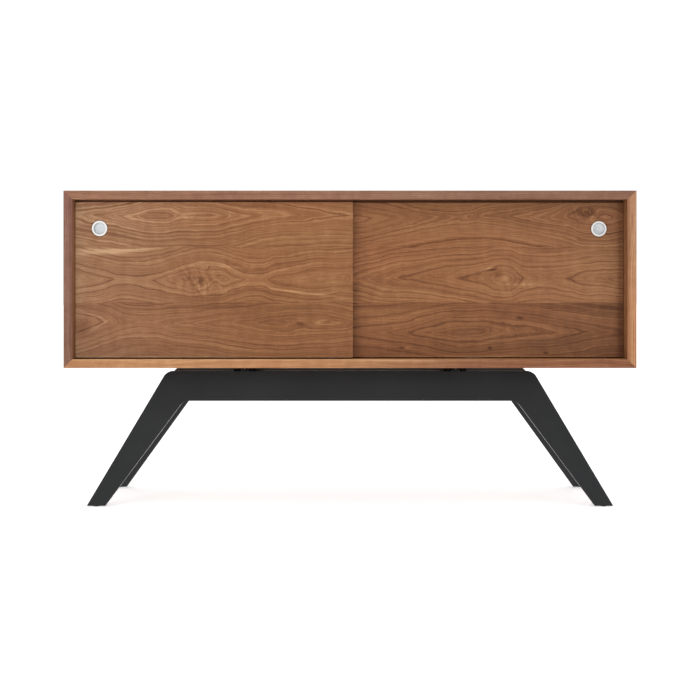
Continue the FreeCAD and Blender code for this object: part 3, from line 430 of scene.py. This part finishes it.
def walnut(name, along, across, seed, face=0.0, wrap=0.9, leaf_start=0.0, leaf_width=LEAF_WIDTH,
           crowns=None, eyes=(), marks=(), curls=(), leaf_tones=(), painted_shade_above=None, pull=None,
           tints=None, tone=0.0, figure=1.0, lines=1.0, red=0.25):
    """Plain-sliced walnut: leaves side by side, each with crowns along its middle.

    along is the grain's axis. across is the two other axes, the leaves' own axis first; face is
    where the shown face lies on the second of them, so that leaves wrap round edges, by wrap of
    the distance. tone lightens the wood, red warms it, figure bends its rings and lines darkens
    them. tints are two places along the grain and the tint at each. On the front lippings tone and
    tints are partly painted light. painted_shade_above darkens the wood above that height, as
    painted shade, and pull puts painted shade round a pull.
    """
    graph = Graph(name)
    place = graph.place()
    grain = place[along]
    side = place[across[0]] + (place[across[1]] - face) * wrap
    leaf_position = (side - leaf_start) / leaf_width
    leaf = graph.math("FLOOR", leaf_position)
    offset = (graph.math("FRACT", leaf_position) - 0.5) * leaf_width
    shift = leaf * LEAF_SHIFT + seed

    # Growth rings with slow sway, ripples and a fine raggedness.
    distance = ring_distance(graph, grain, offset, side, leaf, seed, crowns, eyes)
    sway = wood_noise(graph, "sway", grain, seed, side, shift) * (SWAY_RINGS * figure)
    ripple = wood_noise(graph, "ripple", grain, seed, side, shift)
    rings = distance + sway + ripple * (RIPPLE_RINGS * figure) + FIRST_RING
    uneven = graph.noise(rings * UNEVEN_STEP, shift, seed + UNEVEN_SEED, detail=1.0)
    rings = rings + uneven * UNEVEN_RINGS
    line = ring_lines(graph, grain, rings, seed, shift)
    bands = wood_noise(graph, "bands", grain, seed, rings, shift)
    hair = wood_noise(graph, "hair", grain, seed, rings, shift)

    # Fibres, pores and slow changes of colour.
    fibre = wood_noise(graph, "fibre", grain, seed, side)
    pore = graph.step(wood_noise(graph, "pores", grain, seed, side), *PORE_EDGE)
    cloud = wood_noise(graph, "cloud", grain, seed, side)
    shimmer = wood_noise(graph, "shimmer", grain, seed, side)
    shade = (BASE_SHADE + tone - line * (LINE_SHADE * lines) + bands * (BAND_SHADE * lines)
             + hair * (HAIR_SHADE * lines) + fibre * FIBRE_SHADE - pore * PORE_SHADE
             + cloud * CLOUD_SHADE + shimmer * SHIMMER_SHADE)
    if leaf_tones:
        shade = shade + select_leaf(graph, leaf, leaf_tones)
    else:
        shade = shade + (graph.random(shift) - 0.5) * LEAF_SHADE
    seam = graph.math("ABSOLUTE", graph.math("ABSOLUTE", offset) - leaf_width / 2)
    shade = shade - (1.0 - graph.step(seam, *SEAM_EDGE)) * SEAM_SHADE
    # Marks are the wood's figure and, on the doors and lippings, also painted shade, shadow, light
    # and highlight.
    if marks:
        shade = shade + blobs(graph, grain, side + ripple * MARK_RIPPLE, marks)
    if curls:
        fold = graph.noise(grain * CURL_GRAIN + side * CURL_SLANT, side * CURL_ACROSS,
                           seed + CURL_SEED, distortion=CURL_TWIST)
        shade = shade + fold * blobs(graph, grain, side, curls) * CURL_SHADE
    # Painted shade: a dark ring in the wood round the pull, as the gap there is in shade.
    if pull:
        centre, radius = pull
        u, v = grain - centre.x, side - centre.z
        gap = (graph.math("SQRT", u * u + v * v) - radius) / PULL_GAP
        shade = shade - graph.math("POWER", math.e, gap * gap * -1.0) * PULL_GAP_PAINTED_SHADE
    # Painted shade: the tongue above the door's shoulder is darkened, as the gap over the door is
    # in shade.
    if painted_shade_above:
        shade = shade - graph.step(side, painted_shade_above - TONGUE_EDGE, painted_shade_above + TONGUE_EDGE)
    colour = graph.ramp(graph.clamp(shade), WALNUT_STOPS)
    warmth = graph.clamp(wood_noise(graph, "warmth", grain, seed, side) * WARM_SWING + red)
    colour = graph.tint(warmth, colour, WARM_TINT)
    if tints:
        start, end, first, last = tints
        tint = graph.ramp(graph.step(grain, start, end), ((0.0, first), (1.0, last)))
        colour = graph.tint(1.0, colour, tint)

    relief = fibre * FIBRE_RELIEF - pore * PORE_RELIEF - line * LINE_RELIEF
    sheen = WALNUT_ROUGHNESS + fibre * SHEEN_SWING + pore * SHEEN_SWING
    return graph.finish(colour, sheen, relief, RELIEF_HEIGHT, Specular_IOR_Level=WALNUT_SPECULAR)


# Each board's walnut: grain axis, leaf axis and the axis across, seed, and what is special.
BOARD_WALNUTS = {
    "top_panel": ("X", "YZ", 31.0, {"leaf_start": 0.02}),
    "bottom_panel": ("X", "YZ", 37.0, {"leaf_start": 0.05}),
    "side_panel_left": ("Z", "YX", 41.0, {"leaf_start": 0.03}),
    "side_panel_right": ("Z", "YX", 43.0, {"leaf_start": 0.06}),
    "back_panel": ("X", "ZY", 47.0, {"leaf_start": 0.33, "tone": -0.05}),
    "center_divider": ("Z", "YX", 53.0, {"leaf_start": 0.01}),
    "shelf_left": ("X", "YZ", 59.0, {"leaf_start": 0.08}),
    "shelf_right": ("X", "YZ", 61.0, {"leaf_start": 0.11}),
}
STRIP = {"leaf_width": 0.6, "leaf_start": -0.31, "figure": 0.35, "lines": 0.8}
# The lippings' tones and tints are partly the wood's own colour and partly painted light: the
# bottom and right bevels lighter as lit from above left, and the tints bluish like a cool fill in
# the shade.
LIPPING_WALNUTS = {
    "front_lipping_top": ("X", "ZY", 67.0, {
        "wrap": -0.9, "red": 0.2,
        "tints": (-0.70, 0.50, (1.23, 1.46, 2.22), (0.91, 1.05, 1.60))}),
    "front_lipping_bottom": ("X", "ZY", 71.0, {
        "tone": 0.16, "red": 0.0,
        "tints": (-0.18, 0.42, (1.46, 1.54, 1.69), (0.80, 0.70, 0.82)),
        "marks": (
            # Painted highlight along the bevel's inner arris and the top just behind it; the
            # second adds more near the middle.
            (0.000, 0.4120, 3.000, 0.0065, 0.55, 0.0),
            (0.130, 0.4040, 0.130, 0.0070, 0.20, 0.0),
        )}),
    "front_lipping_left": ("Z", "XY", 73.0, {
        "red": 0.2,
        "tints": (0.38, 0.86, (0.77, 0.85, 1.34), (0.86, 0.95, 1.66)),
        "marks": (
            # Painted shade on the inner edge and on the recess wall behind it.
            (0.600, -0.7400, 0.500, 0.0035, -0.12, 0.0),
            (0.600, -0.7200, 0.500, 0.0130, -0.38, 0.0),
        )}),
    "front_lipping_right": ("Z", "XY", 79.0, {
        "wrap": -0.9, "tone": 0.14, "red": 0.0,
        "tints": (0.50, 0.80, (1.43, 1.50, 1.75), (1.40, 1.58, 2.05)),
        "marks": (
            # The first two are painted shade on the inner edge and on the recess wall behind it.
            (0.600, 0.7385, 0.500, 0.0022, -0.16, 0.0),
            (0.600, 0.7240, 0.500, 0.0120, -0.40, 0.0),
            (0.800, 0.7420, 0.140, 0.0040, -0.12, 0.0),
            (0.769, 0.7490, 0.027, 0.0012, -0.50, 0.0),
        )}),
}
# Each door's side, seed, crowns, their middles, and what is special.
DOOR_WALNUTS = (
    ("left", 11.0, LEFT_DOOR_CROWNS, LEFT_DOOR_MIDDLES, {
        "eyes": LEFT_DOOR_EYES, "marks": LEFT_DOOR_MARKS_AND_PAINTED_LIGHT, "curls": LEFT_DOOR_CURLS,
        "lines": 1.12, "leaf_tones": (-0.045, 0.02, 0.07),
        "tints": (-0.74, -0.20, (1.03, 1.155, 1.42), (0.98, 0.98, 0.97))}),
    ("right", 23.0, RIGHT_DOOR_CROWNS, RIGHT_DOOR_MIDDLES, {
        "eyes": RIGHT_DOOR_EYES, "marks": RIGHT_DOOR_MARKS_AND_PAINTED_LIGHT, "curls": RIGHT_DOOR_CURLS,
        "lines": 1.12, "leaf_tones": (-0.15, 0.02, 0.0),
        "tints": (0.20, 0.70, (1.00, 0.98, 0.98), (1.05, 1.12, 1.22))}),
)


def make_walnuts():
    """The walnut of each board and door."""
    worn = {}
    for side, seed, leaves, middles, special in DOOR_WALNUTS:
        node = f"door_panel_{side}"
        low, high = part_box(node)
        pull_low, pull_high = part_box(f"door_pull_{side}")
        pull = (pull_low + pull_high) / 2, (pull_high.x - pull_low.x) / 2
        worn[node] = walnut(f"walnut_{node}", "X", "ZY", seed, face=low.y, leaf_start=LEAF_START,
                            crowns=(low.x, high.x, leaves, middles), pull=pull,
                            painted_shade_above=high.z - TONGUE_HEIGHT, **special)
    for node, (along, across, seed, special) in BOARD_WALNUTS.items():
        worn[node] = walnut(f"walnut_{node}", along, across, seed, **special)
    for node, (along, across, seed, special) in LIPPING_WALNUTS.items():
        worn[node] = walnut(f"walnut_{node}", along, across, seed, face=LOW.y, **STRIP, **special)
    return worn


# ---------------------------------------------------------------- paint, metal and plastic

def black_lacquer(name, dark, light):
    """Sprayed satin paint with orange peel, slow changes of sheen and a few specks of dust."""
    peel_grain, sweep_grain, dust_grain = 260.0, 6.0, 900.0
    dust_edge, dust_shade = (0.27, 0.33), 0.3
    roughness, sweep_swing, peel_swing = 0.30, 0.08, 0.05
    peel_height, specular = 0.00003, 0.11
    graph = Graph(name)
    place = graph.place()
    peel = graph.noise(place["X"] * peel_grain, place["Z"] * peel_grain, 1.0, detail=2.0)
    sweep = graph.noise(place["X"] * sweep_grain, place["Z"] * sweep_grain, 2.0, detail=3.0)
    specks = graph.noise(place["X"] * dust_grain, place["Z"] * dust_grain, 4.0, detail=0.0)
    dust = graph.step(specks, *dust_edge)
    shade = graph.clamp(sweep + 0.5 + dust * dust_shade)
    colour = graph.ramp(shade, ((0.2, dark), (0.8, light)))
    sheen = roughness + sweep * sweep_swing + peel * peel_swing
    return graph.finish(colour, sheen, peel, peel_height, Specular_IOR_Level=specular)


def satin_aluminium():
    """Brushed metal, its lines upright."""
    dark, light = (0.74, 0.74, 0.745), (0.88, 0.88, 0.885)
    line_grain, line_length, stain_grain = 2600.0, 40.0, 60.0
    line_shade, stain_shade = 0.6, 0.3
    roughness, line_swing, line_height = 0.34, 0.12, 0.00002
    graph = Graph("satin_aluminium")
    place = graph.place()
    lines = graph.noise(place["X"] * line_grain, place["Z"] * line_length, 1.0, detail=2.0)
    stain = graph.noise(place["X"] * stain_grain, place["Z"] * stain_grain, 5.0, detail=2.0)
    shade = graph.clamp(lines * line_shade + stain * stain_shade + 0.5)
    colour = graph.ramp(shade, ((0.0, dark), (1.0, light)))
    return graph.finish(colour, roughness + lines * line_swing, lines, line_height, Metallic=1.0)


def speckled(name, dark, light, roughness, metallic=0.0, level=0.4):
    """Moulded or plated stock with a fine even grain."""
    speck_grain, cloud_grain, depth_share = 700.0, 30.0, 0.7
    speck_shade, cloud_shade = 0.7, 0.5
    speck_swing, speck_height = 0.12, 0.00005
    graph = Graph(name)
    place = graph.place()
    rise = place["Z"] * speck_grain + place["Y"] * speck_grain * depth_share
    speck = graph.noise(place["X"] * speck_grain, rise, 1.0, detail=3.0)
    cloud = graph.noise(place["X"] * cloud_grain, place["Z"] * cloud_grain, 2.0, detail=2.0)
    shade = graph.clamp(speck * speck_shade + cloud * cloud_shade + 0.5)
    colour = graph.ramp(shade, ((0.1, dark), (0.9, light)))
    return graph.finish(colour, roughness + speck * speck_swing, speck, speck_height,
                        Metallic=metallic, Specular_IOR_Level=level)


def raw_birch():
    """Unfinished pale wood, as on dowels and splines."""
    dark, light = (0.50, 0.36, 0.21), (0.72, 0.57, 0.38)
    streak_length, streak_rise, streak_depth = 30.0, 700.0, 500.0
    roughness, streak_swing, streak_height = 0.6, 0.1, 0.0001
    graph = Graph("raw_birch")
    place = graph.place()
    rise = place["Z"] * streak_rise + place["Y"] * streak_depth
    streak = graph.noise(place["X"] * streak_length, rise, 1.0, detail=3.0)
    colour = graph.ramp(graph.clamp(streak + 0.5), ((0.1, dark), (0.9, light)))
    return graph.finish(colour, roughness + streak * streak_swing, streak, streak_height)


ALUMINIUM_NODES = ("door_pull_left", "door_pull_right")
BIRCH_NODES = ("mitre_splines", "divider_dowels", "leg_tenons", "stretcher_dowels")
# Name, darkest and lightest colour, and the nodes that wear it.
LACQUERS = (
    ("black_lacquer", (0.0180, 0.0187, 0.0193), (0.0266, 0.0277, 0.0289),
     ("front_beam", "front_leg_left", "front_leg_right", "stretcher_left", "stretcher_right")),
    # The rear frame's copy is lighter than the front's: painted light, to lift the shade under the
    # case.
    ("black_lacquer_rear_painted_lighter", (0.0262, 0.0264, 0.0270), (0.0380, 0.0382, 0.0390),
     ("rear_beam", "rear_leg_left", "rear_leg_right")),
)
# Name, darkest and lightest colour, roughness, other settings, and the nodes that wear it.
SPECKLED = (
    ("track_plastic", (0.036, 0.015, 0.005), (0.056, 0.023, 0.008), 0.7, {"level": 0.05},
     ("upper_track",)),
    # The lower track is far lighter than its dark plastic: painted light, to lift the shade in the
    # gap under the doors.
    ("lower_track_painted_light", (0.420, 0.185, 0.062), (0.520, 0.235, 0.080), 0.6, {"level": 0.15},
     ("lower_track",)),
    # Black rubber, made darker still as painted shade under the case.
    ("black_rubber_and_painted_shade", (0.0040, 0.0040, 0.0040), (0.0065, 0.0065, 0.0065), 0.8, {"level": 0.02},
     ("mount_spacers",)),
    ("moulded_plastic", (0.016, 0.016, 0.0165), (0.026, 0.026, 0.0265), 0.45, {},
     ("cable_grommets",)),
    ("nylon", (0.016, 0.016, 0.017), (0.026, 0.026, 0.027), 0.5, {},
     ("door_glides_left", "door_glides_right", "foot_pads")),
    ("zinc_steel", (0.45, 0.45, 0.46), (0.62, 0.62, 0.63), 0.38, {"metallic": 1.0},
     ("back_panel_screws", "shelf_pins", "mount_washers")),
    ("black_steel", (0.03, 0.03, 0.032), (0.05, 0.05, 0.053), 0.38, {"metallic": 0.6},
     ("mount_bolts",)),
    ("brass", (0.55, 0.38, 0.14), (0.72, 0.53, 0.24), 0.35, {"metallic": 1.0},
     ("threaded_inserts",)),
)


def dress(node, material):
    """Put a material on a CAD node."""
    slots = NODES[node].material_slots
    for slot in slots:
        slot.material = material
    if not slots:
        NODES[node].data.materials.append(material)


def dress_all():
    """Put a material on every CAD node."""
    for node, material in make_walnuts().items():
        dress(node, material)
    worn = [(black_lacquer(name, dark, light), nodes) for name, dark, light, nodes in LACQUERS]
    worn += [(speckled(name, dark, light, roughness, **settings), nodes)
             for name, dark, light, roughness, settings, nodes in SPECKLED]
    worn += [(satin_aluminium(), ALUMINIUM_NODES), (raw_birch(), BIRCH_NODES)]
    for material, nodes in worn:
        for node in nodes:
            dress(node, material)


# ---------------------------------------------------------------- turned pulls and screws

MM = 0.001

# Half section of a pull in millimetres: (radius, depth behind the rim's front, which metal).
PULL_SECTION = (
    (0.0, 9.4, "cup"), (3.0, 9.4, "cup"), (3.4, 9.55, "cup"), (6.0, 9.55, "cup"),
    (6.4, 9.4, "cup"), (13.4, 9.4, "cup"), (14.4, 9.1, "cup"), (15.1, 8.4, "cup"),
    (15.4, 7.4, "cup"), (15.5, 1.6, "cup"), (15.6, 0.8, "rim"), (15.9, 0.3, "rim"),
    (16.4, 0.05, "rim"), (17.0, 0.0, "rim"), (19.6, 0.0, "rim"), (20.3, 0.08, "rim"),
    (20.8, 0.4, "rim"), (21.0, 0.9, "rim"), (21.0, 1.2, "rim"), (17.5, 1.2, "rim"),
    (17.5, 12.2, "cup"), (0.0, 12.2, "cup"),
)
PULL_SEGMENTS = 96
PULL_METALS = {
    "rim": ((0.65, 0.64, 0.62), (0.78, 0.765, 0.74), 0.55),
    "cup": ((0.51, 0.53, 0.54), (0.62, 0.64, 0.65), 0.58),
}

SCREW_SEGMENTS = 24
SCREW_SPACING = 0.02    # more than a head's width, and less than between two screws
SCREW_TURN = 37         # degrees from one screw's cross to the next one's
# Half section of a screw in millimetres: (radius, depth behind the head's face).
SCREW_SECTION = ((4.0, 0.25), (4.0, 0.40), (2.0, 2.5), (1.8, 3.0), (1.8, 24.0), (0.0, 28.0))
HEAD_FACE = ((3.5, 0.0), (3.85, 0.05))
CROSS_REACH = 2.1                   # half the cross's span at the face
CROSS_CORNER = math.radians(15)     # half of what one arm of the cross takes up
# The cross recess from its point to its edge: (share of the cross at the face, depth).
CROSS_POINT_DEPTH = 1.8
CROSS_RINGS = ((0.6, 1.5), (0.9, 0.25), (1.0, 0.0))
CORNER_SLACK = 1e-6     # radians, so that rounding doesn't move a corner's vertex
FACE_SLACK = 0.1        # millimetres, within which a vertex lies on a head's face


def turned_metal(name, centre, dark, light, roughness):
    """Aluminium with fine turning marks round its own axis."""
    mark_grain, mark_depth, stain_grain = 3800.0, 3000.0, 70.0
    mark_shade, stain_shade = 0.6, 0.3
    mark_swing, mark_height = 0.15, 0.00002
    graph = Graph(name)
    place = graph.place()
    x, z = place["X"] - centre.x, place["Z"] - centre.z
    radius = graph.math("SQRT", x * x + z * z)
    marks = graph.noise(radius * mark_grain, place["Y"] * mark_depth, 1.0, detail=2.0)
    stain = graph.noise(place["X"] * stain_grain, place["Z"] * stain_grain, 5.0, detail=2.0)
    shade = graph.clamp(marks * mark_shade + stain * stain_shade + 0.5)
    colour = graph.ramp(shade, ((0.0, dark), (1.0, light)))
    return graph.finish(colour, roughness + marks * mark_swing, marks, mark_height, Metallic=1.0)


def even_angles(count):
    """As many angles as asked for, evenly round a full turn."""
    return [2 * math.pi * i / count for i in range(count)]


def join_loops(mesh, first, second, segments):
    """Faces between two loops of vertices, either of which may be a single point."""
    faces = []
    for i in range(segments):
        j = (i + 1) % segments
        corners = [first[i % len(first)], first[j % len(first)],
                   second[j % len(second)], second[i % len(second)]]
        faces.append(mesh.faces.new(list(dict.fromkeys(corners))))
    return faces


def finish_piece(name, mesh, materials):
    """An object from a closed mesh."""
    bmesh.ops.recalc_face_normals(mesh, faces=mesh.faces)
    data = bpy.data.meshes.new(name)
    mesh.to_mesh(data)
    mesh.free()
    for material in materials:
        data.materials.append(material)
    piece = bpy.data.objects.new(name, data)
    bpy.context.scene.collection.objects.link(piece)
    return piece


def make_pull(side):
    """A turned cup in place of the plain one, with its eased rim and shallow centre ring."""
    node = f"door_pull_{side}"
    low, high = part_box(node)
    centre = (low + high) / 2
    mesh = bmesh.new()
    loops = []
    for radius, depth, _metal in PULL_SECTION:
        y = low.y + depth * MM
        angles = even_angles(PULL_SEGMENTS) if radius else (0.0,)
        loops.append([mesh.verts.new((centre.x + radius * MM * math.cos(a), y,
                                      centre.z + radius * MM * math.sin(a))) for a in angles])
    metals = list(PULL_METALS)
    for first, second, (_radius, _depth, metal) in zip(loops, loops[1:], PULL_SECTION[1:]):
        for face in join_loops(mesh, first, second, PULL_SEGMENTS):
            face.smooth, face.material_index = True, metals.index(metal)
    materials = [turned_metal(f"pull_{metal}_{side}", centre, *look)
                 for metal, look in PULL_METALS.items()]
    pull = finish_piece(f"pull_{side}", mesh, materials)
    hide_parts(node)
    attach(pull, f"door_{side}")


def cross_radius(angle):
    """How far the edge of the cross recess is from its middle, in millimetres."""
    quarter = math.pi / 2
    turn = abs((angle + quarter / 2) % quarter - quarter / 2)
    if turn <= CROSS_CORNER + CORNER_SLACK:
        return CROSS_REACH / math.cos(turn)
    return CROSS_REACH * math.tan(CROSS_CORNER) / math.sin(turn)


def screw_spots(node):
    """The middles of the node's screw heads, which are far apart from each other."""
    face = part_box(node)[1].y
    groups = []
    for vertex in NODES[node].data.vertices:
        if face - vertex.co.y > FACE_SLACK * MM:
            continue
        for group in groups:
            if (group[0] - vertex.co).length < SCREW_SPACING:
                group.append(vertex.co.copy())
                break
        else:
            groups.append([vertex.co.copy()])
    return [Vector([(min(v[i] for v in group) + max(v[i] for v in group)) / 2 for i in range(3)])
            for group in groups]


def add_screw(mesh, spot, twist):
    """One countersunk screw with a cross recess, its head's face at the spot towards +Y."""
    angles = even_angles(SCREW_SEGMENTS)
    rings = [[(0.0, CROSS_POINT_DEPTH)]]
    rings += [[(cross_radius(a) * share, depth) for a in angles] for share, depth in CROSS_RINGS]
    rings += [[(radius, depth)] * (SCREW_SEGMENTS if radius else 1)
              for radius, depth in HEAD_FACE + SCREW_SECTION]
    loops = []
    for ring in rings:
        loops.append([mesh.verts.new((spot.x + radius * MM * math.cos(a + twist),
                                      spot.y - depth * MM,
                                      spot.z + radius * MM * math.sin(a + twist)))
                      for (radius, depth), a in zip(ring, angles)])
    for first, second in zip(loops, loops[1:]):
        join_loops(mesh, first, second, SCREW_SEGMENTS)


def make_screws():
    """Cross-head screws in place of the plain ones in the back."""
    node = "back_panel_screws"
    mesh = bmesh.new()
    for number, spot in enumerate(screw_spots(node)):
        add_screw(mesh, spot, math.radians(SCREW_TURN * number % 90))
    plated = NODES[node].material_slots[0].material
    screws = finish_piece("cross_head_screws", mesh, [plated])
    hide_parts(node)
    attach(screws, "cabinet")


# ---------------------------------------------------------------- studio

CAMERA_DISTANCE = 3.4
CAMERA_HEIGHT = 0.591
CAMERA_LENS = 65.78
CAMERA_SHIFT = -0.0886
SENSOR_WIDTH = 36.0
FLOOR_REACH = 40.0      # from the middle to each edge
FLOOR_GLOW = 0.40
WORLD_STRENGTH = 1.04
# Name, place, what it looks at (None for the object's middle), size and power in watts.
SOFTBOXES = (
    ("softbox_front", (-0.9, -4.6, 1.5), None, (5.0, 2.6), 12.0),
    ("softbox_left", (-2.6, -2.6, 1.0), None, (1.2, 1.4), 7.0),
    ("softbox_top", (0.0, -0.8, 2.9), (0.0, -0.2, 0.5), (2.6, 1.0), 4.0),
)


def make_camera():
    """Level, in front of the middle, with the view shifted down as in the photograph."""
    data = bpy.data.cameras.new("camera")
    data.lens, data.sensor_width, data.shift_y = CAMERA_LENS, SENSOR_WIDTH, CAMERA_SHIFT
    camera = bpy.data.objects.new("camera", data)
    camera.location = ((LOW.x + HIGH.x) / 2, LOW.y - CAMERA_DISTANCE, CAMERA_HEIGHT)
    camera.rotation_euler = (math.radians(90), 0, 0)
    bpy.context.scene.collection.objects.link(camera)
    bpy.context.scene.camera = camera


def make_floor():
    """A pale floor far larger than the view."""
    mesh = bpy.data.meshes.new("floor")
    signs = ((-1, -1), (1, -1), (1, 1), (-1, 1))
    corners = [(x * FLOOR_REACH, y * FLOOR_REACH, 0) for x, y in signs]
    mesh.from_pydata(corners, [], [(0, 1, 2, 3)])
    floor = bpy.data.objects.new("floor", mesh)
    floor.location.z = LOW.z
    graph = Graph("pale_floor")
    place = graph.place()
    cloud_grain, dark, light = 2.0, (0.95, 0.95, 0.95), (0.97, 0.97, 0.97)
    cloud = graph.noise(place["X"] * cloud_grain, place["Y"] * cloud_grain, 1.0)
    colour = graph.ramp(graph.clamp(cloud + 0.5), ((0.0, dark), (1.0, light)))
    roughness, specular = 0.8, 0.1
    mesh.materials.append(graph.finish(colour, roughness, Specular_IOR_Level=specular,
                                       Emission_Strength=FLOOR_GLOW))
    bpy.context.scene.collection.objects.link(floor)


def make_softbox(name, location, target, size, power):
    """A soft rectangular lamp that looks at the target."""
    data = bpy.data.lights.new(name, "AREA")
    data.shape, data.energy = "RECTANGLE", power
    data.size, data.size_y = size
    lamp = bpy.data.objects.new(name, data)
    lamp.location = location
    lamp.rotation_euler = (Vector(target) - Vector(location)).to_track_quat("-Z", "Y").to_euler()
    bpy.context.scene.collection.objects.link(lamp)


def make_light():
    """Soft lamps in a white room."""
    middle = (0.0, 0.0, (LOW.z + HIGH.z) / 2)
    for name, location, target, size, power in SOFTBOXES:
        make_softbox(name, location, target or middle, size, power)
    world = bpy.data.worlds.new("studio")
    world.use_nodes = True
    background = world.node_tree.nodes["Background"]
    background.inputs["Color"].default_value = (1.0, 1.0, 1.0, 1.0)
    background.inputs["Strength"].default_value = WORLD_STRENGTH
    bpy.context.scene.world = world
    bpy.context.scene.view_settings.view_transform = "Standard"


# ---------------------------------------------------------------- assembly

dress_all()
for side_name in ("left", "right"):
    make_pull(side_name)
make_screws()
make_camera()
make_floor()
make_light()
